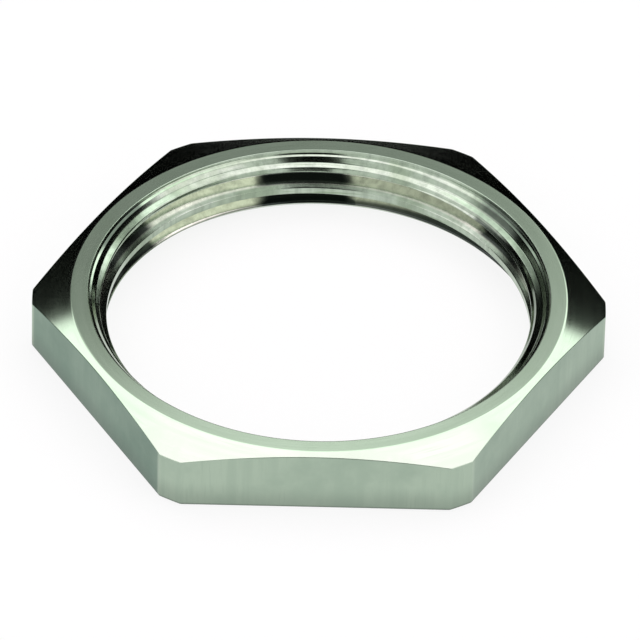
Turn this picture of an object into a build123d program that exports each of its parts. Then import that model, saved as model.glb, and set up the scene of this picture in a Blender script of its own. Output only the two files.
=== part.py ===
from build123d import *
import os
from math import ceil, cos, radians, tan

# Locknut for an M25 x 1.5 cable gland: one piece, turned and tapped from hexagonal bar.
# Millimetres. The origin is the centre of the flat seating face and +Z runs along the thread
# axis to the bevelled face. Corners of the hexagon point along +X and -X, flats face +Y and -Y.

# Metric internal thread, right hand
thread_diameter = 25.0      # at the roots
thread_pitch = 1.5
thread_angle = 60.0         # degrees between the flanks
crest_share = 1 / 4         # width of a crest's flat, in pitches
root_share = 1 / 8          # width of a root's flat, in pitches
crest_height = 1.55         # middle of a crest above the seat, at crest_azimuth
crest_azimuth = 90.0        # degrees about +Z from +X

# Hexagonal body
wall_at_flats = 1.5         # from the thread's roots to a flat, so 28 mm across flats
thickness = 3.65
corner_turned_off = 0.37    # how far each sharp corner is turned down to a narrow land

# Upper face: a flat ring, and outside it a shallow bevel that falls towards the corners
ring_inset = 0.35           # from a flat to the ring's outer edge
bevel_angle = 18.0          # degrees below the face

# Countersinks at the two mouths of the bore, measured down to the crests
face_mouth_depth = 1.05
seat_mouth_depth = 0.75
mouth_angle = 45.0          # degrees from the thread axis

half_flank = radians(thread_angle / 2)
thread_depth = thread_pitch * (1 - crest_share - root_share) / 2 / tan(half_flank)
root_radius = thread_diameter / 2
crest_radius = root_radius - thread_depth
face_mouth_radius = crest_radius + face_mouth_depth * tan(radians(mouth_angle))
seat_mouth_radius = crest_radius + seat_mouth_depth * tan(radians(mouth_angle))

flat_radius = root_radius + wall_at_flats
corner_radius = flat_radius / cos(radians(30)) - corner_turned_off
ring_radius = flat_radius - ring_inset
bevel_drop = (corner_radius - ring_radius) * tan(radians(bevel_angle))


def groove_section(height: float) -> Sketch:
    """The space between two crests, in the XZ plane, carried a little inward into the bore."""
    inward = thread_depth / 4
    root_half = thread_pitch * root_share / 2
    mouth_half = thread_pitch * (1 - crest_share) / 2 + inward * tan(half_flank)
    with BuildSketch(Plane.XZ) as section:
        with BuildLine():
            Polyline(
                (crest_radius - inward, height - mouth_half),
                (root_radius, height - root_half),
                (root_radius, height + root_half),
                (crest_radius - inward, height + mouth_half),
                close=True,
            )
        make_face()
    return section.sketch


os.makedirs("parts", exist_ok=True)

with BuildPart() as locknut:
    # The bar, cut to length
    with BuildSketch(Plane.XY):
        RegularPolygon(radius=flat_radius, side_count=6, major_radius=False)
    extrude(amount=thickness)

    # The corner lands and the bevel are turned, so they are one surface of revolution
    with BuildSketch(Plane.XZ):
        with BuildLine():
            Polyline(
                (0, 0),
                (corner_radius, 0),
                (corner_radius, thickness - bevel_drop),
                (ring_radius, thickness),
                (0, thickness),
                close=True,
            )
        make_face()
    revolve(axis=Axis.Z, mode=Mode.INTERSECT)

    # The bore at the crests of the thread, countersunk at both faces
    with BuildSketch(Plane.XZ):
        with BuildLine():
            Polyline(
                (0, 0),
                (seat_mouth_radius, 0),
                (crest_radius, seat_mouth_depth),
                (crest_radius, thickness - face_mouth_depth),
                (face_mouth_radius, thickness),
                (0, thickness),
                close=True,
            )
        make_face()
    revolve(axis=Axis.Z, mode=Mode.SUBTRACT)

    # The thread groove, cut turn by turn from below the seat to above the face. The helix starts
    # on +X, and the middle of the groove lies half a pitch below a crest's.
    rise_to_azimuth = thread_pitch * crest_azimuth / 360
    first = (crest_height - rise_to_azimuth - thread_pitch / 2) % thread_pitch
    turns = ceil((thickness - first) / thread_pitch) + 1
    for turn in range(-1, turns):
        height = first + turn * thread_pitch
        with BuildLine(mode=Mode.PRIVATE) as path:
            Helix(pitch=thread_pitch, height=thread_pitch, radius=crest_radius, center=(0, 0, height))
        sweep(
            sections=groove_section(height),
            path=path.line,
            is_frenet=True,
            mode=Mode.SUBTRACT,
        )

locknut.part.label = "locknut"
export_step(locknut.part, "parts/locknut.step")
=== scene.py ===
"""Cable gland locknut: the turned and tapped hexagonal nut, dressed as bright nickel on brass."""
import logging
import math
from dataclasses import dataclass, field
from enum import Enum
from typing import Any, NamedTuple, Optional, Union

import bpy
from mathutils import Matrix, Vector


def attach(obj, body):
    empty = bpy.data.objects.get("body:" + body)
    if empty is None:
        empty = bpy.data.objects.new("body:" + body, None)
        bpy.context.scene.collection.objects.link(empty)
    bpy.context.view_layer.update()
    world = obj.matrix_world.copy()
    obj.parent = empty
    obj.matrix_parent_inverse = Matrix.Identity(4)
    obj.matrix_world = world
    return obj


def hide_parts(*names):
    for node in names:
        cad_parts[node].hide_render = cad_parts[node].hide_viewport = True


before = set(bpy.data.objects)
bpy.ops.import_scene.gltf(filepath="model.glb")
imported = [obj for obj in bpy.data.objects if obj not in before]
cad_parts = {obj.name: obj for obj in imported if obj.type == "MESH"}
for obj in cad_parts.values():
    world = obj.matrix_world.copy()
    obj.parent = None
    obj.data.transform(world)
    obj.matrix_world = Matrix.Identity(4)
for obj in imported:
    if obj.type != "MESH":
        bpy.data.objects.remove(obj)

LOG = logging.getLogger("locknut")
MM = 0.001
PER_MM = 1000.0
NODE = "locknut"
BODY = "root"
SECTOR = math.radians(60.0)     # from one corner of the hexagon to the next
HALF_SECTORS = 12
STEP_CLIMB = 0.2387 * MM        # of the upper countersink's steps, for a radian at the back

# Tints of the studio's lights
WARM = (1.0, 0.90, 0.98)
GREEN = (0.95, 1.0, 0.95)
WHITE = (1.0, 1.0, 1.0)

Socket = bpy.types.NodeSocket
Number = Union["Value", float, int]
Inputs = dict[str, "Value"]
Colour = tuple[float, float, float]
Span = tuple[float, float]
Borders = tuple[float, float, float, float]


class Value:
    """One number socket of a node tree. Python's operators on it add Math nodes."""

    def __init__(self, graph: "Graph", socket: Socket) -> None:
        """Keeps the socket and the graph it belongs to."""
        self.graph = graph
        self.socket = socket

    def __add__(self, other: Number) -> "Value":
        """self + other"""
        return self.graph.math("ADD", self, other)

    __radd__ = __add__

    def __sub__(self, other: Number) -> "Value":
        """self - other"""
        return self.graph.math("SUBTRACT", self, other)

    def __rsub__(self, other: Number) -> "Value":
        """other - self"""
        return self.graph.math("SUBTRACT", other, self)

    def __mul__(self, other: Number) -> "Value":
        """self * other"""
        return self.graph.math("MULTIPLY", self, other)

    __rmul__ = __mul__

    def __truediv__(self, other: Number) -> "Value":
        """self / other"""
        return self.graph.math("DIVIDE", self, other)

    def __rtruediv__(self, other: Number) -> "Value":
        """other / self"""
        return self.graph.math("DIVIDE", other, self)


class Grain(NamedTuple):
    """What a noise texture looks like: its scale, its octaves and the strength of the finer ones."""

    scale: float
    detail: float
    roughness: float = 0.5


class Graph:
    """Adds nodes to one tree, of shaders or of geometry, and gives their outputs back as values."""

    def __init__(self, tree: bpy.types.NodeTree) -> None:
        """Works on the given tree."""
        self.tree = tree

    def node(
        self,
        kind: str,
        settings: Optional[dict[str, Any]] = None,
        inputs: Optional[dict[Union[str, int], Any]] = None,
    ) -> bpy.types.Node:
        """Adds a node of any type.

        Args:
            kind: the node's type name.
            settings: its properties, which are set before its sockets.
            inputs: plain values, Values or output sockets, by input name or number.

        Returns:
            The new node.
        """
        made = self.tree.nodes.new(kind)
        for name, setting in (settings or {}).items():
            setattr(made, name, setting)
        for name, value in (inputs or {}).items():
            self.feed(made.inputs[name], value)
        return made

    def feed(self, target: Socket, value: Any) -> None:
        """Links a value or a socket to a socket, or sets the socket's own value.

        Args:
            target: the input socket.
            value: a Value, an output socket, or a plain value.
        """
        if isinstance(value, Value):
            self.tree.links.new(value.socket, target)
        elif isinstance(value, Socket):
            self.tree.links.new(value, target)
        else:
            target.default_value = value

    def value(self, node: bpy.types.Node, output: Union[str, int] = 0) -> Value:
        """One output of a node, as a value."""
        return Value(self, node.outputs[output])

    def math(self, operation: str, *terms: Number) -> Value:
        """Adds a Math node.

        Args:
            operation: its operation.
            terms: its one to three inputs.

        Returns:
            The result.
        """
        return self.value(self.node("ShaderNodeMath", {"operation": operation}, dict(enumerate(terms))))

    def remap(
        self, value: Number, low: Number, high: Number, to_low: Number, to_high: Number,
        smooth: bool = False,
    ) -> Value:
        """Maps one range onto another, and holds the result within it.

        Args:
            value: what is mapped.
            low: start of its range.
            high: end of its range.
            to_low: result at the start.
            to_high: result at the end.
            smooth: eases in and out.

        Returns:
            The mapped value.
        """
        kind = "SMOOTHSTEP" if smooth else "LINEAR"
        return self.value(self.node(
            "ShaderNodeMapRange", {"interpolation_type": kind, "clamp": True},
            {0: value, 1: low, 2: high, 3: to_low, 4: to_high},
        ))

    def vector(self, x: Number, y: Number, z: Number) -> Socket:
        """Combines three numbers into a vector."""
        return self.node("ShaderNodeCombineXYZ", None, {0: x, 1: y, 2: z}).outputs[0]

    def parts(self, vector: Socket) -> tuple[Value, Value, Value]:
        """Splits a vector into its three numbers."""
        split = self.node("ShaderNodeSeparateXYZ", None, {0: vector})
        return self.value(split, 0), self.value(split, 1), self.value(split, 2)

    def polar(self, place: Socket) -> tuple[Value, Value, Value]:
        """Radius, azimuth and height of a place about the nut's axis."""
        x, y, z = self.parts(place)
        return self.math("SQRT", x * x + y * y), self.math("ARCTAN2", y, x), z

    def noise(self, vector: Socket, grain: Grain) -> Value:
        """Adds a noise texture, of values from about 0 to 1, read at the vector."""
        return self.value(self.node("ShaderNodeTexNoise", {"noise_dimensions": "3D"}, {
            "Vector": vector, "Scale": grain.scale, "Detail": grain.detail,
            "Roughness": grain.roughness,
        }))

    def mix_colour(self, factor: Number, a: Any, b: Any) -> Socket:
        """Mixes two colours.

        Args:
            factor: share of the second.
            a: first colour.
            b: second colour.

        Returns:
            The mixed colour's socket.
        """
        mix = self.node("ShaderNodeMix", {"data_type": "RGBA", "clamp_factor": True})
        self.feed(mix.inputs[0], factor)
        self.feed(mix.inputs[6], a)
        self.feed(mix.inputs[7], b)
        return mix.outputs[2]


def new_material(name: str) -> tuple[bpy.types.Material, Graph]:
    """Makes an empty material.

    Args:
        name: its name.

    Returns:
        The material, and the graph that its nodes are added to.
    """
    material = bpy.data.materials.new(name)
    material.use_nodes = True
    material.node_tree.nodes.clear()
    return material, Graph(material.node_tree)


def place_object(name: str, data: bpy.types.ID) -> bpy.types.Object:
    """Puts a mesh or a camera into the scene as an object at the origin.

    Args:
        name: the object's name.
        data: its mesh or camera.

    Returns:
        The object.
    """
    made = bpy.data.objects.new(name, data)
    bpy.context.scene.collection.objects.link(made)
    return made


class Surface(Enum):
    """The nut's surfaces, by the tool that made them."""

    TURNED = "rings about the axis"
    DRAWN = "lines along the bar"
    TAPPED = "lines along the thread"


@dataclass(frozen=True)
class NickelFinish:
    """Bright nickel plate over turned brass. The plate keeps the tool marks of the metal below it."""

    name: str = "nickel_turned"
    colour: Colour = (0.47, 0.555, 0.455)
    stain: Colour = (0.38, 0.465, 0.365)
    # Near black, for dull tool marks, and for painted shade and painted dark reflections on the drawn and
    # tapped faces
    residue_and_painted_shade: Colour = (0.045, 0.055, 0.05)
    stain_share: float = 0.5
    roughness: float = 0.11
    roughness_swing: float = 0.05
    mark_depth: float = 0.002 * MM
    mark_strength: float = 0.35
    # Noise for the tool marks, in millimetres, and for the plate's clouds, in metres
    coarse_marks: Grain = Grain(1.6, 3.0)
    fine_marks: Grain = Grain(9.0, 2.0)
    clouds: Grain = Grain(260.0, 4.0, 0.6)
    coarse_share: float = 0.6
    # Levels of each noise between which the stain sets in
    cloud_stain: Span = (0.42, 0.66)
    coarse_stain: Span = (0.4, 0.7)
    fine_stain: Span = (0.52, 0.72)
    mark_length: float = 25.0 * MM

    def _mark_space(self, graph: Graph, place: Socket) -> Socket:
        """Coordinates that are stretched along the tool marks.

        Args:
            graph: the material's graph.
            place: object coordinates, in metres.

        Returns:
            A vector in millimetres, in which plain noise looks like tool marks.
        """
        x, y, _ = graph.parts(place)
        radius = graph.math("SQRT", x * x + y * y)
        return graph.vector(radius * PER_MM, x / self.mark_length, y / self.mark_length)

    def _painted_light_and_wear(self, graph: Graph, place: Socket, cloud: Value, colour: Socket) -> Socket:
        """Lays painted shade and painted highlights, and any tarnish tint, over the plate's colour. Turned
        faces get none.

        Args:
            graph: the material's graph.
            place: object coordinates, in metres.
            cloud: noise that breaks up the borders.
            colour: the plate's colour so far.

        Returns:
            The colour with its wear.
        """
        return colour

    def _chatter(
        self, graph: Graph, place: Socket, colour: Socket, height: Value
    ) -> tuple[Socket, Value]:
        """Adds marks across the cut, where the tool leaves any. A turning tool leaves none.

        Args:
            graph: the material's graph.
            place: object coordinates, in metres.
            colour: the plate's colour so far.
            height: the bump's height so far.

        Returns:
            The colour and the height with the marks.
        """
        return colour, height

    def build(self) -> bpy.types.Material:
        """Makes the material.

        Returns:
            The material, ready to be given to a mesh.
        """
        material, graph = new_material(self.name)
        place = graph.node("ShaderNodeTexCoord").outputs["Object"]
        along = self._mark_space(graph, place)
        coarse = graph.noise(along, self.coarse_marks)
        fine = graph.noise(along, self.fine_marks)
        cloud = graph.noise(place, self.clouds)
        blotch = graph.remap(cloud, *self.cloud_stain, 0.0, self.stain_share, smooth=True)
        streak = graph.remap(coarse, *self.coarse_stain, 0.0, self.stain_share, smooth=True)
        scratch = graph.remap(fine, *self.fine_stain, 0.0, self.stain_share)
        stained = graph.math("MAXIMUM", blotch, graph.math("MAXIMUM", streak, scratch))
        colour = graph.mix_colour(stained, (*self.colour, 1.0), (*self.stain, 1.0))
        colour = self._painted_light_and_wear(graph, place, cloud, colour)
        height = coarse * self.coarse_share + fine * (1.0 - self.coarse_share)
        colour, height = self._chatter(graph, place, colour, height)
        rough = self.roughness + self.roughness_swing * (fine + cloud - 1.0)
        bump = graph.node("ShaderNodeBump", None, {
            "Strength": self.mark_strength, "Distance": self.mark_depth, "Height": height,
        })
        shader = graph.node("ShaderNodeBsdfPrincipled", None, {
            "Base Color": colour, "Metallic": 1.0, "Roughness": rough, "Normal": bump.outputs[0],
        })
        graph.node("ShaderNodeOutputMaterial", None, {"Surface": shader.outputs[0]})
        return material


@dataclass(frozen=True)
class DrawnNickel(NickelFinish):
    """The plate on the drawn flats: duller, with painted shade darker near the seat, and painted shade with
    a green tarnish tint on some flats.
    """

    name: str = "nickel_drawn_flat"
    colour: Colour = (0.42, 0.52, 0.415)
    stain: Colour = (0.32, 0.415, 0.33)
    roughness: float = 0.36
    stain_share: float = 0.4
    mark_length: float = 1000.0 / 60.0 * MM
    shade_and_tarnish: Colour = (0.10, 0.185, 0.14)
    # A flat's painted shade, with its tarnish tint, is its azimuth's squared cosine times the first, less
    # its cosine times the second
    flat_shade_squared: float = 0.646
    flat_shade_less: float = 0.248
    flat_shade_fray: float = 0.5
    land_radii: Span = (15.66 * MM, 15.76 * MM)
    # Painted shade low on the sides, and a painted shadow line along the seat
    low_height: float = 1.7 * MM
    low_share: float = 0.30
    rim_heights: Span = (0.03 * MM, 0.2 * MM)
    rim_share: float = 0.45

    def _mark_space(self, graph: Graph, place: Socket) -> Socket:
        """Coordinates that are stretched along the bar.

        Args:
            graph: the material's graph.
            place: object coordinates, in metres.

        Returns:
            A vector in millimetres, in which plain noise looks like drawing marks.
        """
        x, y, z = graph.parts(place)
        return graph.vector(x * PER_MM, y * PER_MM, z / self.mark_length)

    def _painted_light_and_wear(self, graph: Graph, place: Socket, cloud: Value, colour: Socket) -> Socket:
        """Lays painted shade with a tarnish tint on the flats, though not on the corner lands, and painted
        shade low on the sides, with a painted shadow line along the seat.

        Args:
            graph: the material's graph.
            place: object coordinates, in metres.
            cloud: noise that breaks up the borders.
            colour: the plate's colour so far.

        Returns:
            The colour with its wear.
        """
        radius, azimuth, z = graph.polar(place)
        # Painted shade, tinted like tarnish, by the azimuth of each flat
        flat_azimuth = (graph.math("FLOOR", azimuth / SECTOR) + 0.5) * SECTOR
        turn = graph.math("COSINE", flat_azimuth)
        on_flat = graph.remap(radius, *self.land_radii, 1.0, 0.0)
        share = turn * turn * self.flat_shade_squared - turn * self.flat_shade_less
        share = on_flat * share + (cloud - 0.5) * self.flat_shade_fray * on_flat
        colour = graph.mix_colour(share, colour, (*self.shade_and_tarnish, 1.0))
        # Painted shade low on the sides, and a painted shadow line just above the seat
        low = graph.remap(z + (cloud - 0.5) * MM, 0.0, self.low_height, self.low_share, 0.0, smooth=True)
        rim = graph.remap(z, *self.rim_heights, self.rim_share, 0.0, smooth=True)
        return graph.mix_colour(low + rim, colour, (*self.residue_and_painted_shade, 1.0))


@dataclass(frozen=True)
class TappedNickel(NickelFinish):
    """The plate in the bore: painted highlights on the groove floors, painted dark reflections behind the
    flats, and chatter marks.
    """

    name: str = "nickel_tapped"
    stain: Colour = (0.25, 0.33, 0.22)
    stain_share: float = 0.7
    roughness: float = 0.14
    mark_strength: float = 1.0
    lead: float = 1.5 * MM
    mark_bend: float = 0.6
    # Painted highlight on the groove's floor, beyond these radii and below these heights, but off the
    # seat's countersink, on which radius and height add up to less than the last pair
    groove_highlight: Colour = (0.80, 0.85, 0.71)
    groove_radii: Span = (11.86 * MM, 12.0 * MM)
    groove_heights: Span = (2.72 * MM, 2.86 * MM)
    seat_cone: Span = (12.44 * MM, 12.49 * MM)
    # Painted dark reflections, one behind each flat at the back of the bore, and painted shade towards the
    # right of the bore
    patch_azimuth: float = math.radians(93.0)
    patch_edge: Span = (0.1, 0.6)
    patch_share: float = 0.97
    patch_fray: float = 1.6
    back_sines: Span = (0.0, 0.25)
    side_azimuth: float = 0.4
    side_share: float = 0.35
    # Darker band low in the bore, where the thread runs out at the seat
    low_band_heights: Span = (0.50 * MM, 0.66 * MM)
    low_band_share: float = 0.72
    # Painted dark reflections in the upper countersink, by cosine of the azimuth and by level on its
    # climbing steps
    climb: float = STEP_CLIMB
    left_cosines: Span = (-0.6, -0.35)
    left_share: float = 0.85
    right_cosines: Span = (0.66, 0.74)
    right_share: float = 0.5
    right_patch_share: float = 0.3
    riser_levels: Span = (3.12 * MM, 3.2 * MM)
    tread_levels: Span = (2.94 * MM, 3.0 * MM)
    tread_share: float = 0.4
    crest_levels: Span = (2.70 * MM, 2.78 * MM)
    crest_end: Span = (2.93 * MM, 3.0 * MM)
    crest_share: float = 0.75
    # Chatter marks, short lines up the wall
    chatter: Grain = Grain(2.4, 3.0, 0.6)
    chatter_length: float = 10.0 * MM
    chatter_stain: Span = (0.42, 0.68)
    chatter_share: float = 0.24

    def _mark_space(self, graph: Graph, place: Socket) -> Socket:
        """Coordinates that are stretched along the thread.

        Args:
            graph: the material's graph.
            place: object coordinates, in metres.

        Returns:
            A vector in millimetres, in which plain noise looks like tapping marks.
        """
        radius, azimuth, z = graph.polar(place)
        height = z - azimuth * (self.lead / math.tau)
        bend = graph.math("COSINE", azimuth) * self.mark_bend
        return graph.vector(height * PER_MM, radius * PER_MM, bend)

    def _painted_light_and_wear(self, graph: Graph, place: Socket, cloud: Value, colour: Socket) -> Socket:
        """Paints a highlight on the groove's floor, dark reflections behind the flats and on the upper
        countersink's steps, and darkens the bore low down.

        Args:
            graph: the material's graph.
            place: object coordinates, in metres.
            cloud: noise that breaks up the borders.
            colour: the plate's colour so far.

        Returns:
            The colour with its wear.
        """
        radius, azimuth, z = graph.polar(place)
        sideways = graph.math("COSINE", azimuth)

        # Painted highlight on the groove's floor
        off_seat_cone = graph.remap(radius + z, *self.seat_cone, 0.0, 1.0)
        deep = graph.remap(radius, *self.groove_radii, 0.0, 1.0, smooth=True)
        deep = deep * graph.remap(z, *self.groove_heights, 1.0, 0.0, smooth=True) * off_seat_cone
        colour = graph.mix_colour(deep, colour, (*self.groove_highlight, 1.0))

        # Painted dark reflections behind the flats at the back, and painted shade towards the right
        behind_flat = graph.math("COSINE", (azimuth - self.patch_azimuth) * (math.tau / SECTOR))
        behind_flat = behind_flat + (cloud - 0.5) * self.patch_fray
        patch = graph.remap(behind_flat, *self.patch_edge, 0.0, self.patch_share, smooth=True)
        patch = patch * graph.remap(graph.math("SINE", azimuth), *self.back_sines, 0.0, 1.0)
        to_side = graph.math("COSINE", azimuth - self.side_azimuth) * self.side_share
        patch = graph.math("MAXIMUM", patch, to_side)
        # Darker low in the bore, just above the seat's countersink
        low_band = graph.remap(z, *self.low_band_heights, self.low_band_share, 0.0, smooth=True) * off_seat_cone

        # Painted dark reflections on the climbing steps of the upper countersink
        level = z + sideways * self.climb
        left = graph.remap(sideways, *self.left_cosines, self.left_share, 0.0) * patch
        right = graph.remap(sideways, *self.right_cosines, 0.0, 1.0)
        riser = graph.remap(level, *self.riser_levels, 0.0, 1.0, smooth=True)
        riser = riser * (left + right * (patch * self.right_patch_share + self.right_share))
        tread = graph.remap(level, *self.tread_levels, 0.0, self.tread_share) * right
        crest = graph.remap(level, *self.crest_levels, 0.0, self.crest_share)
        crest = crest * graph.remap(level, *self.crest_end, 1.0, 0.0) * right * patch

        steps = graph.math("MAXIMUM", riser, graph.math("MAXIMUM", tread, crest))
        dark = graph.math("MAXIMUM", deep * patch + low_band, steps)
        return graph.mix_colour(graph.math("MINIMUM", dark, 1.0), colour, (*self.residue_and_painted_shade, 1.0))

    def _chatter(
        self, graph: Graph, place: Socket, colour: Socket, height: Value
    ) -> tuple[Socket, Value]:
        """Adds the short marks that a tap leaves across its cut.

        Args:
            graph: the material's graph.
            place: object coordinates, in metres.
            colour: the plate's colour so far.
            height: the bump's height so far.

        Returns:
            The colour and the height with the marks.
        """
        x, y, z = graph.parts(place)
        across = graph.noise(graph.vector(x * PER_MM, y * PER_MM, z / self.chatter_length), self.chatter)
        dull = graph.remap(across, *self.chatter_stain, 0.0, self.chatter_share)
        return graph.mix_colour(dull, colour, (*self.residue_and_painted_shade, 1.0)), height + across


class Ring(NamedTuple):
    """A line round the nut, at a radius and a height that may change with the azimuth."""

    radius: Number
    height: Number


class Step(NamedTuple):
    """A corner of the upper countersink's profile."""

    radius: float
    height: float


FINISHES = {
    Surface.TURNED: NickelFinish(),
    Surface.DRAWN: DrawnNickel(),
    Surface.TAPPED: TappedNickel(),
}


@dataclass
class Locknut:
    """The whole nut: a hexagon with turned corners and bevel, round a threaded, countersunk bore.

    The upper countersink is stepped, and across the back its steps climb with the thread.
    """

    # The thread, with half the widths of its flats in pitches
    crest_radius: float = 11.688 * MM
    root_radius: float = 12.5 * MM
    pitch: float = 1.5 * MM
    crest_height: float = 1.55 * MM
    crest_azimuth: float = math.radians(90.0)
    half_crest: float = 0.125
    half_root: float = 0.0625
    half_flank: float = math.radians(30.0)
    # The body
    flat_radius: float = 14.0 * MM
    corner_radius: float = 15.7958 * MM
    thickness: float = 3.65 * MM
    ring_radius: float = 13.65 * MM
    ring_fall: float = math.radians(1.2)
    bevel: float = math.radians(18.0)
    # The countersinks. The corner with the number below climbs most, and the climb sets in
    # between azimuths with these sines
    mouth_radius: float = 12.738 * MM
    mouth_steps: tuple[Step, ...] = (
        Step(11.688 * MM, 2.60 * MM), Step(11.854 * MM, 2.766 * MM),
        Step(11.965 * MM, 2.985 * MM), Step(12.31 * MM, 3.11 * MM),
        Step(12.525 * MM, 3.35 * MM), Step(12.66 * MM, 3.395 * MM),
        Step(12.725 * MM, 3.465 * MM), Step(12.738 * MM, 3.65 * MM),
    )
    climbing_corner: int = 3
    climb: float = STEP_CLIMB
    climb_sines: Span = (-0.05, 0.45)
    seat_mouth_depth: float = 0.75 * MM
    # Edges and roundings
    seat_edge: float = 0.12 * MM
    bevel_edge: float = 0.035 * MM
    ring_edge: float = 0.06 * MM
    mouth_edge: float = 0.025 * MM
    crest_round: float = 0.05 * MM
    mouth_round: float = 0.03 * MM
    corner_round: float = 0.05 * MM
    # Columns of faces in each half sector, and the shares of them at which the rounding between
    # the corner's land and the flat begins and ends, this far from the land's end
    columns: int = 30
    land_share: float = 0.1
    rounding_share: float = 0.3
    rounding_reach: float = math.radians(0.4)
    # Rows of faces across the bands. In the thread they lie close together this near, in pitches,
    # to the edges of crest and root, and row_shares says at which shares of a turn
    face_rows: int = 8
    edge_rows: int = 5
    fine_edge_rows: int = 4
    lip_rows: int = 3
    step_rows: int = 8
    turns: int = 4
    rows_per_turn: int = 40
    row_shares: tuple[float, ...] = (0.0, 0.075, 0.2, 0.35, 0.45, 0.5)
    near_crest: float = 0.02
    near_root: float = 0.015
    weld: float = 0.0015 * MM
    # Upward parts of the normals that tell the sides and the seat from the other faces
    side_normal: float = 0.7
    seat_normal: float = -0.9
    inputs: dict[str, str] = field(default_factory=dict)

    def sizes(self) -> dict[str, float]:
        """The tree's named inputs and what this nut gives them."""
        return {
            "Crest radius": self.crest_radius,
            "Root radius": self.root_radius,
            "Thread pitch": self.pitch,
            "Crest height": self.crest_height,
            "Crest azimuth": self.crest_azimuth,
            "Flat radius": self.flat_radius,
            "Corner radius": self.corner_radius,
            "Thickness": self.thickness,
            "Ring radius": self.ring_radius,
            "Ring fall": self.ring_fall,
            "Bevel angle": self.bevel,
            "Mouth radius": self.mouth_radius,
            "Seat mouth depth": self.seat_mouth_depth,
            "Seat edge": self.seat_edge,
            "Bevel edge": self.bevel_edge,
            "Ring edge": self.ring_edge,
            "Mouth edge": self.mouth_edge,
            "Thread rounding": self.crest_round,
            "Mouth rounding": self.mouth_round,
            "Corner rounding": self.corner_round,
        }

    def _azimuth(self, graph: Graph, across: Value, size: Inputs) -> Value:
        """Places the columns: close together at the turned corners, wider on the flats.

        Args:
            graph: the tree's graph.
            across: place on a strip, from 0 to 1 round the nut.
            size: the named inputs.

        Returns:
            The azimuth in radians.
        """
        halves = across * HALF_SECTORS
        corner = graph.math("FLOOR", (halves + 1.0) * 0.5)
        offset = halves - corner * 2.0
        share = graph.math("ABSOLUTE", offset)
        land = SECTOR / 2 - graph.math("ARCCOSINE", size["Flat radius"] / size["Corner radius"])
        reach = self.rounding_reach
        turn = (
            graph.remap(share, 0.0, self.land_share, 0.0, land - reach)
            + graph.remap(share, self.land_share, self.rounding_share, 0.0, reach * 2)
            + graph.remap(share, self.rounding_share, 1.0, 0.0, SECTOR / 2 - reach - land)
        )
        return corner * SECTOR + graph.math("SIGN", offset) * turn

    def _outline(self, graph: Graph, azimuth: Value, size: Inputs) -> Value:
        """Radius of the side at an azimuth: the flats, held in by the turned corners.

        Args:
            graph: the tree's graph.
            azimuth: in radians, 0 at a corner.
            size: the named inputs.

        Returns:
            The radius.
        """
        from_flat = graph.math("WRAP", azimuth, SECTOR, 0.0) - SECTOR / 2
        flat = size["Flat radius"] / graph.math("COSINE", from_flat)
        return graph.math("SMOOTH_MIN", flat, size["Corner radius"], size["Corner rounding"])

    def _climb(self, graph: Graph, azimuth: Value, place: Number, size: Inputs, level_known: bool) -> Value:
        """How far the countersink's steps lie below their middle level, because they climb.

        Args:
            graph: the tree's graph.
            azimuth: in radians.
            place: a height above the seat, or a level on the steps' profile.
            size: the named inputs.
            level_known: whether place is a level and not a height.

        Returns:
            What is added to a height to give its level, or taken from a level to give its height.
        """
        in_view = graph.remap(graph.math("SINE", azimuth), *self.climb_sines, 0.0, 1.0)
        drop = graph.math("COSINE", azimuth) * in_view * self.climb
        foot = self.mouth_steps[0].height
        middle = self.mouth_steps[self.climbing_corner].height
        brow = size["Thickness"] - size["Mouth edge"]
        knee = middle if level_known else middle - drop
        rise = (place - foot) / (knee - foot)
        fall = (brow - place) / (brow - knee)
        return drop * graph.math("MAXIMUM", graph.math("MINIMUM", rise, fall), 0.0)

    def _bore(self, graph: Graph, azimuth: Value, height: Number, size: Inputs) -> Value:
        """Radius of the bore: the thread, opened by the stepped countersink and the seat's plain one.

        Args:
            graph: the tree's graph.
            azimuth: in radians.
            height: above the seat.
            size: the named inputs.

        Returns:
            The radius.
        """
        crest, pitch, rounding = size["Crest radius"], size["Thread pitch"], size["Thread rounding"]
        rise = (height - size["Crest height"]) / pitch
        off_crest = graph.math("PINGPONG", rise - (azimuth - size["Crest azimuth"]) / math.tau, 0.5)
        flank = crest + (off_crest - self.half_crest) * pitch / math.tan(self.half_flank)
        cut = graph.math("SMOOTH_MIN", flank, size["Root radius"], rounding)
        thread = graph.math("SMOOTH_MAX", cut, crest, rounding)
        level = height + self._climb(graph, azimuth, height, size, level_known=False)
        face_cone = crest
        for low, high in zip(self.mouth_steps, self.mouth_steps[1:]):
            widening = graph.remap(level, low.height, high.height, 0.0, high.radius - low.radius)
            face_cone = face_cone + widening
        seat_cone = crest + (size["Seat mouth depth"] - height)
        opened = graph.math("SMOOTH_MAX", thread, face_cone, size["Mouth rounding"])
        return graph.math("SMOOTH_MAX", opened, seat_cone, size["Mouth rounding"])

    def _step_level(self, graph: Graph, down: Value, brow: Value) -> Value:
        """Places the rows of the stepped countersink: as many on each of its steps.

        Args:
            graph: the tree's graph.
            down: from 0 at the top of the countersink's strip to 1 at its foot.
            brow: the level at the top.

        Returns:
            Level on the steps' profile.
        """
        stops = [brow, *(step.height for step in reversed(self.mouth_steps[:-1]))]
        place = down * (len(stops) - 1)
        level = brow
        for index, (high, low) in enumerate(zip(stops, stops[1:])):
            level = level - graph.remap(place, index, index + 1.0, 0.0, high - low)
        return level

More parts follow.
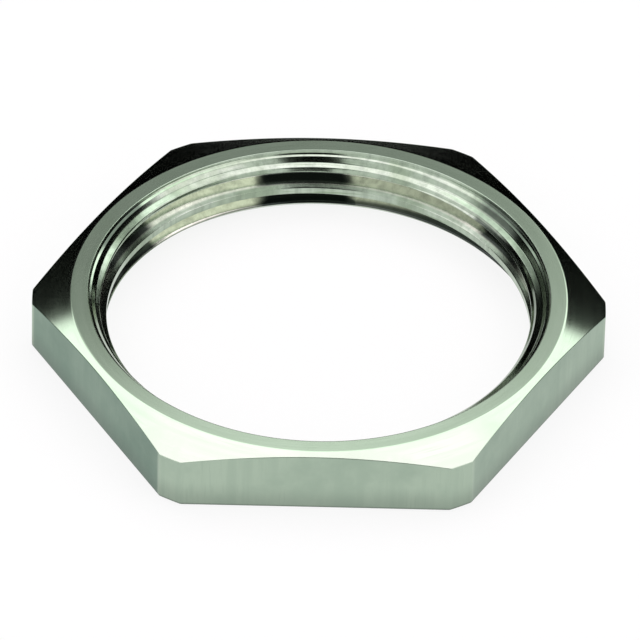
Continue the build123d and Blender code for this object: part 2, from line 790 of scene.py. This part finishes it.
    def _thread_row(self, graph: Graph, down: Value) -> Value:
        """Places the rows of the bore: close together where the thread is rounded.

        Args:
            graph: the tree's graph.
            down: from 0 at the top of the bore's strip to 1 at its foot.

        Returns:
            Height in pitches above the crest that passes through the nut's middle.
        """
        turns = self.turns / 2 - down * self.turns
        whole = graph.math("FLOOR", turns + 0.5)
        offset = turns - whole
        share = graph.math("ABSOLUTE", offset)
        root = 0.5 - self.half_root
        places = (
            0.0, self.half_crest - self.near_crest, self.half_crest + self.near_crest,
            root - self.near_root, root + self.near_root, 0.5,
        )
        stops = list(zip(self.row_shares, places))
        placed = 0.0
        for (low, from_place), (high, to_place) in zip(stops, stops[1:]):
            placed = placed + graph.remap(share, low, high, 0.0, to_place - from_place)
        return whole + graph.math("SIGN", offset) * placed

    def tree(self, finishes: dict[Surface, bpy.types.Material]) -> bpy.types.NodeTree:
        """Builds the node tree that makes the nut.

        Args:
            finishes: the material for each surface.

        Returns:
            The tree.
        """
        tree = bpy.data.node_groups.new("locknut_skin", "GeometryNodeTree")
        tree.interface.new_socket(name="Geometry", in_out="OUTPUT", socket_type="NodeSocketGeometry")
        for name, value in self.sizes().items():
            item = tree.interface.new_socket(name=name, in_out="INPUT", socket_type="NodeSocketFloat")
            item.default_value = value
            self.inputs[name] = item.identifier
        graph = Graph(tree)
        group_input = graph.node("NodeGroupInput")
        size = {name: graph.value(group_input, name) for name in self.sizes()}
        across, down, _ = graph.parts(graph.node("GeometryNodeInputPosition").outputs[0])
        azimuth = self._azimuth(graph, across + 0.5, size)
        bands = self._bands(graph, azimuth, down + 0.5, size)

        joined = graph.node("GeometryNodeJoinGeometry")
        for band in reversed(bands):
            tree.links.new(band, joined.inputs[0])
        welded = graph.node("GeometryNodeMergeByDistance", None, {
            "Geometry": joined.outputs[0], "Distance": self.weld,
        })
        smooth = graph.node("GeometryNodeSetShadeSmooth", None, {
            0: welded.outputs[0], "Shade Smooth": True,
        })
        real = graph.node("GeometryNodeRealizeInstances", None, {0: smooth.outputs[0]})
        last = self._dress(graph, real.outputs[0], size, finishes)
        graph.node("NodeGroupOutput", None, {0: last})
        return tree

    def _bands(self, graph: Graph, azimuth: Value, along: Value, size: Inputs) -> list[Socket]:
        """Makes the bands of the skin, from the seat round the outside to the foot of the bore.

        Args:
            graph: the tree's graph.
            azimuth: of a point of a band.
            along: the point's place across the band, from 0 to 1.
            size: the named inputs.

        Returns:
            The bands' geometry.
        """
        eased = 0.5 - graph.math("COSINE", along * math.pi) * 0.5
        side = self._outline(graph, azimuth, size)
        thickness, mouth, edge = size["Thickness"], size["Mouth radius"], size["Mouth edge"]
        ring_radius, ring_edge = size["Ring radius"], size["Ring edge"]
        seat_edge, bevel_edge = size["Seat edge"], size["Bevel edge"]
        ring_slope = graph.math("TANGENT", size["Ring fall"])
        ring_outer_height = thickness - (ring_radius - mouth) * ring_slope
        bevel_slope = graph.math("TANGENT", size["Bevel angle"])

        def on_bevel(radius: Value) -> Ring:
            """The bevel at a radius."""
            return Ring(radius, ring_outer_height - (radius - ring_radius) * bevel_slope)

        def on_ring(radius: Value) -> Ring:
            """The flat ring at a radius."""
            return Ring(radius, thickness - (radius - mouth) * ring_slope)

        def in_bore(height: Number) -> Ring:
            """The bore's wall at a height."""
            return Ring(self._bore(graph, azimuth, height, size), height)

        seat_lip = in_bore(0.0)
        seat_inner = Ring(seat_lip.radius + edge, 0.0)
        seat_outer = Ring(side - seat_edge, 0.0)
        side_foot = Ring(side, seat_edge)
        brim = on_bevel(side)
        side_top = Ring(side, brim.height - bevel_edge)
        bevel_outer = on_bevel(side - bevel_edge)
        bevel_inner = on_bevel(ring_radius + ring_edge)
        ring_outer = on_ring(ring_radius - ring_edge)
        ring_inner = on_ring(mouth + edge)
        chain: list[tuple[int, list[Ring]]] = [
            (self.face_rows, [seat_inner, seat_outer]),
            (self.edge_rows, [seat_outer, Ring(side, 0.0), side_foot]),
            (self.face_rows, [side_foot, side_top]),
            (self.edge_rows, [side_top, brim, bevel_outer]),
            (self.face_rows, [bevel_outer, bevel_inner]),
            (self.fine_edge_rows, [bevel_inner, on_ring(ring_radius), ring_outer]),
            (self.face_rows, [ring_outer, ring_inner]),
            (self.fine_edge_rows, [ring_inner, on_ring(mouth), in_bore(thickness - edge)]),
            (self.lip_rows, [in_bore(edge), seat_lip, seat_inner]),
        ]
        bands = [
            self._band(graph, rows, self._between(rings, along, eased), azimuth)
            for rows, rings in chain
        ]

        level = self._step_level(graph, along, thickness - edge)
        stepped = level - self._climb(graph, azimuth, level, size, level_known=True)
        step_rows = self.step_rows * (len(self.mouth_steps) - 1)
        bands.append(self._band(graph, step_rows, in_bore(stepped), azimuth))

        lift = (azimuth - size["Crest azimuth"]) / math.tau + self._thread_row(graph, along)
        helix = size["Crest height"] + lift * size["Thread pitch"]
        held = graph.math("MAXIMUM", graph.math("MINIMUM", helix, self.mouth_steps[0].height), edge)
        bands.append(self._band(graph, self.turns * self.rows_per_turn, in_bore(held), azimuth))
        return bands

    @staticmethod
    def _between(rings: list[Ring], along: Value, eased: Value) -> Ring:
        """The ring part of the way across a band.

        Args:
            rings: two rings for a plain band, or three for an edge that is rounded over.
            along: place across the band.
            eased: the same with the rows drawn towards both borders.

        Returns:
            The ring there.
        """
        if len(rings) == 2:
            weights = (1.0 - eased, eased)
        else:
            back = 1.0 - along
            weights = (back * back, back * along * 2.0, along * along)
        radius = sum((weight * ring.radius for weight, ring in zip(weights, rings)), start=0.0)
        height = sum((weight * ring.height for weight, ring in zip(weights, rings)), start=0.0)
        return Ring(radius, height)

    def _band(self, graph: Graph, rows: int, ring: Ring, azimuth: Value) -> Socket:
        """One band of the nut's skin, right round it.

        Args:
            graph: the tree's graph.
            rows: faces across the band.
            ring: the ring through a point of the band.
            azimuth: of that point.

        Returns:
            The band's geometry.
        """
        grid = graph.node("GeometryNodeMeshGrid", None, {
            "Size X": 1.0, "Size Y": 1.0,
            "Vertices X": HALF_SECTORS * self.columns + 1, "Vertices Y": rows + 1,
        })
        x = ring.radius * graph.math("COSINE", azimuth)
        y = ring.radius * graph.math("SINE", azimuth)
        placed = graph.node("GeometryNodeSetPosition", None, {
            "Geometry": grid.outputs[0], "Position": graph.vector(x, y, ring.height),
        })
        return placed.outputs[0]

    def _dress(
        self, graph: Graph, geometry: Socket, size: Inputs, finishes: dict[Surface, bpy.types.Material]
    ) -> Socket:
        """Gives each surface the finish of the tool that made it.

        Args:
            graph: the tree's graph.
            geometry: the whole skin.
            size: the named inputs.
            finishes: the material for each surface.

        Returns:
            The dressed geometry.
        """
        x, y, _ = graph.parts(graph.node("GeometryNodeInputPosition").outputs[0])
        _, _, upward = graph.parts(graph.node("GeometryNodeInputNormal").outputs[0])
        radius = graph.math("SQRT", x * x + y * y)
        mouth = size["Mouth radius"]
        upright = graph.math("LESS_THAN", graph.math("ABSOLUTE", upward), self.side_normal)
        outside = graph.math("GREATER_THAN", radius, (mouth + size["Flat radius"]) * 0.5)
        off_seat = graph.math("GREATER_THAN", upward, self.seat_normal)
        inside = graph.math("LESS_THAN", radius, mouth) * off_seat
        last = geometry
        for surface, selection in (
            (Surface.TURNED, None), (Surface.DRAWN, upright * outside), (Surface.TAPPED, inside),
        ):
            set_material = graph.node("GeometryNodeSetMaterial", None, {
                "Geometry": last, "Material": finishes[surface],
            })
            if selection is not None:
                graph.feed(set_material.inputs["Selection"], selection)
            last = set_material.outputs[0]
        return last

    def build(self) -> bpy.types.Object:
        """Makes the nut, dresses it and puts it in the CAD node's place.

        Returns:
            The finished object.
        """
        tree = self.tree({surface: finish.build() for surface, finish in FINISHES.items()})
        nut = place_object("locknut_dressed", bpy.data.meshes.new("locknut_start"))
        modifier = nut.modifiers.new("skin", "NODES")
        modifier.node_group = tree
        for name, value in self.sizes().items():
            modifier[self.inputs[name]] = value
        evaluated = nut.evaluated_get(bpy.context.evaluated_depsgraph_get())
        mesh = bpy.data.meshes.new_from_object(evaluated)
        nut.modifiers.remove(modifier)
        nut.data = mesh
        mesh.name = "locknut_dressed"
        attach(nut, BODY)
        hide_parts(NODE)
        return nut


@dataclass
class Floor:
    """A plain white table top that the camera sees as white, with the nut's soft shadow on it."""

    reach: float = 2.0
    drop: float = 0.01 * MM
    colour: Colour = (0.93, 0.93, 0.93)
    glow: float = 0.85

    def build(self) -> bpy.types.Object:
        """Makes the floor.

        Returns:
            The floor's object.
        """
        mesh = bpy.data.meshes.new("floor")
        r, z = self.reach, -self.drop
        mesh.from_pydata([(-r, -r, z), (r, -r, z), (r, r, z), (-r, r, z)], [], [(0, 1, 2, 3)])
        floor = place_object("floor", mesh)
        material, graph = new_material("floor_white")
        path = graph.node("ShaderNodeLightPath")
        eye, mirrored, through = (
            graph.value(path, f"Is {kind} Ray") for kind in ("Camera", "Glossy", "Transmission")
        )
        seen = graph.math("MAXIMUM", graph.math("MAXIMUM", eye, mirrored), through)
        paper = graph.node("ShaderNodeBsdfDiffuse", None, {"Color": (*self.colour, 1.0)})
        white = graph.node("ShaderNodeEmission", None, {"Color": (*WHITE, 1.0), "Strength": 1.0})
        mixed = graph.node("ShaderNodeMixShader", None, {
            0: seen * self.glow, 1: paper.outputs[0], 2: white.outputs[0],
        })
        graph.node("ShaderNodeOutputMaterial", None, {"Surface": mixed.outputs[0]})
        mesh.materials.append(material)
        return floor


@dataclass
class StudioCard:
    """A card or a lit panel round the table, a patch of a sphere about the nut.

    Its azimuths and elevations are in degrees, and so are the soft borders, which are the left,
    the right, the lower and the upper one.
    """

    name: str
    azimuth: Span
    elevation: Span
    level: float
    soft: Borders
    tint: Colour = WHITE
    distance: float = 0.95
    columns: int = 24
    rows: int = 12

    def build(self) -> bpy.types.Object:
        """Makes the card.

        Returns:
            The card's object.
        """
        width = self.azimuth[1] - self.azimuth[0]
        height = self.elevation[1] - self.elevation[0]
        vertices, faces = [], []
        for j in range(self.rows + 1):
            elevation = math.radians(self.elevation[0] + height * j / self.rows)
            for i in range(self.columns + 1):
                azimuth = math.radians(self.azimuth[0] + width * i / self.columns)
                vertices.append((
                    self.distance * math.cos(elevation) * math.cos(azimuth),
                    self.distance * math.cos(elevation) * math.sin(azimuth),
                    self.distance * math.sin(elevation),
                ))
        for j in range(self.rows):
            for i in range(self.columns):
                a = j * (self.columns + 1) + i
                faces.append((a, a + 1, a + self.columns + 2, a + self.columns + 1))
        mesh = bpy.data.meshes.new(self.name)
        mesh.from_pydata(vertices, [], faces)
        uv = mesh.uv_layers.new(name="card")
        for loop in mesh.loops:
            j, i = divmod(loop.vertex_index, self.columns + 1)
            uv.data[loop.index].uv = (i / self.columns, j / self.rows)
        card = place_object(self.name, mesh)
        left, right, foot, top = self.soft
        soft = (left / width, right / width, foot / height, top / height)
        mesh.materials.append(fading_light(self.name, self.level, self.tint, soft))
        card.visible_camera = False
        card.visible_shadow = False
        return card


@dataclass
class Softbox:
    """A flat lit panel, or a dark card, that faces the nut and fades out at its borders.

    Its half sizes and its soft border are in shares of its distance.
    """

    name: str
    direction: tuple[float, float, float]
    half_size: Span
    level: float
    soft: float
    distance: float
    tint: Colour = WHITE

    def build(self) -> bpy.types.Object:
        """Makes the panel.

        Returns:
            The panel's object.
        """
        out = Vector(self.direction).normalized()
        right = Vector((0.0, 0.0, 1.0)).cross(out).normalized()
        up = out.cross(right)
        half_width, half_height = self.half_size
        corners = [
            (out + right * (half_width * a) + up * (half_height * b)) * self.distance
            for a, b in ((-1, -1), (1, -1), (1, 1), (-1, 1))
        ]
        mesh = bpy.data.meshes.new(self.name)
        mesh.from_pydata([tuple(c) for c in corners], [], [(0, 1, 2, 3)])
        uv = mesh.uv_layers.new(name="panel")
        for loop, place in zip(uv.data, ((0, 0), (1, 0), (1, 1), (0, 1))):
            loop.uv = place
        panel = place_object(self.name, mesh)
        across, upward = self.soft / (2 * half_width), self.soft / (2 * half_height)
        soft = (across, across, upward, upward)
        mesh.materials.append(fading_light(self.name, self.level, self.tint, soft))
        panel.visible_camera = False
        panel.visible_shadow = False
        return panel


def fading_light(name: str, level: float, tint: Colour, soft: Borders) -> bpy.types.Material:
    """An even light that fades out towards the borders of its UV square.

    Args:
        name: the material's name.
        level: its strength, where 1 is white.
        tint: its colour.
        soft: shares of the square over which the left, right, lower and upper borders fade.

    Returns:
        The material.
    """
    material, graph = new_material(name)
    u, v, _ = graph.parts(graph.node("ShaderNodeTexCoord").outputs["UV"])
    left, right, foot, top = soft
    cover = graph.remap(u, 0.0, left, 0.0, 1.0, smooth=True)
    cover = cover * graph.remap(u, 1.0 - right, 1.0, 1.0, 0.0, smooth=True)
    cover = cover * graph.remap(v, 0.0, foot, 0.0, 1.0, smooth=True)
    cover = cover * graph.remap(v, 1.0 - top, 1.0, 1.0, 0.0, smooth=True)
    clear = graph.node("ShaderNodeBsdfTransparent")
    lit = graph.node("ShaderNodeEmission", None, {"Color": (*tint, 1.0), "Strength": level})
    mixed = graph.node("ShaderNodeMixShader", None, {0: cover, 1: clear.outputs[0], 2: lit.outputs[0]})
    graph.node("ShaderNodeOutputMaterial", None, {"Surface": mixed.outputs[0]})
    return material


@dataclass
class Studio:
    """The plain pale world, the cards and panels round the table, and the view transform."""

    world_level: float = 1.0
    cards: tuple[StudioCard, ...] = (
        StudioCard("card_back", (8, 172), (-2, 34.5), 0.0, (10, 10, 0.01, 2.5)),
        StudioCard("card_back_middle", (73, 122.5), (31, 47), 0.35, (16, 16, 4, 8), GREEN, 0.93),
        StudioCard("card_back_right", (8, 48), (-2, 50), 0.0, (10, 10, 0.01, 8), WHITE, 0.92),
        StudioCard("card_back_left", (132, 172), (-2, 50), 0.0, (10, 10, 0.01, 8), WHITE, 0.92),
        StudioCard("card_corner_right", (44, 72), (28, 36.6), 0.0, (6, 6, 2, 2.5), WHITE, 0.91),
        StudioCard("card_corner_left", (108, 136), (28, 37), 0.0, (6, 6, 2, 2.5), WHITE, 0.91),
        StudioCard("softbox_back", (25, 155), (30, 62), 2.1, (10, 10, 4, 6), GREEN, 1.1),
        StudioCard("softbox_high", (20, 160), (54, 81), 2.2, (10, 10, 6, 4), WARM, 1.2),
    )
    softboxes: tuple[Softbox, ...] = (
        Softbox("softbox_left", (-0.62, -0.12, 0.62), (0.34, 0.30), 2.0, 0.06, 1.2, WARM),
        Softbox("softbox_right", (0.62, -0.15, 0.62), (0.34, 0.30), 2.0, 0.06, 1.2, WARM),
        Softbox("card_camera", (0.08, -0.66, 0.72), (0.24, 0.74), 0.0, 0.05, 0.9),
    )

    def build(self) -> None:
        """Sets the world, the cards and the view transform."""
        scene = bpy.context.scene
        scene.view_settings.view_transform = "Standard"
        world = bpy.data.worlds.new("studio")
        world.use_nodes = True
        world.node_tree.nodes.clear()
        graph = Graph(world.node_tree)
        sky = graph.node("ShaderNodeBackground", None, {
            "Color": (*WHITE, 1.0), "Strength": self.world_level,
        })
        graph.node("ShaderNodeOutputWorld", None, {"Surface": sky.outputs[0]})
        scene.world = world
        for card in (*self.cards, *self.softboxes):
            card.build()
            LOG.info("%s staged", card.name)


@dataclass
class ViewCamera:
    """The photograph's camera, fitted to the nut's edges."""

    distance: float = 0.56409
    elevation: float = math.radians(39.071)
    azimuth: float = math.radians(0.271)
    roll: float = math.radians(1.454)
    focal_pixels: float = 10235.9
    nut_pixel: tuple[float, float] = (318.64, 318.67)
    image_side: int = 640
    sensor: float = 36.0
    clip: Span = (0.01, 20.0)
    target_height: float = 1.825 * MM

    def build(self) -> bpy.types.Object:
        """Makes the camera and sets it as the scene's.

        Returns:
            The camera's object.
        """
        level = Vector((-math.sin(self.azimuth), -math.cos(self.azimuth), 0.0))
        back = level * math.cos(self.elevation) + Vector((0.0, 0.0, math.sin(self.elevation)))
        right = Vector((math.cos(self.azimuth), -math.sin(self.azimuth), 0.0))
        up = back.cross(right)
        rolled_right = right * math.cos(self.roll) + up * math.sin(self.roll)
        rolled_up = up * math.cos(self.roll) - right * math.sin(self.roll)
        data = bpy.data.cameras.new("camera")
        data.sensor_width = self.sensor
        data.lens = self.focal_pixels / self.image_side * self.sensor
        data.shift_x = (self.image_side / 2 - self.nut_pixel[0]) / self.image_side
        data.shift_y = (self.nut_pixel[1] - self.image_side / 2) / self.image_side
        data.clip_start, data.clip_end = self.clip
        camera = place_object("camera", data)
        turned = Matrix((rolled_right, rolled_up, back)).transposed().to_4x4()
        place = Vector((0.0, 0.0, self.target_height)) + back * self.distance
        camera.matrix_world = Matrix.Translation(place) @ turned
        bpy.context.scene.camera = camera
        return camera


def main() -> None:
    logging.basicConfig(level=logging.INFO, format="%(name)s: %(message)s")
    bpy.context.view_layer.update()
    ViewCamera().build()
    LOG.info("camera set")
    Studio().build()
    Floor().build()
    LOG.info("studio set")
    nut = Locknut().build()
    LOG.info("%s: %d faces", nut.name, len(nut.data.polygons))


if __name__ == "__main__":
    main()
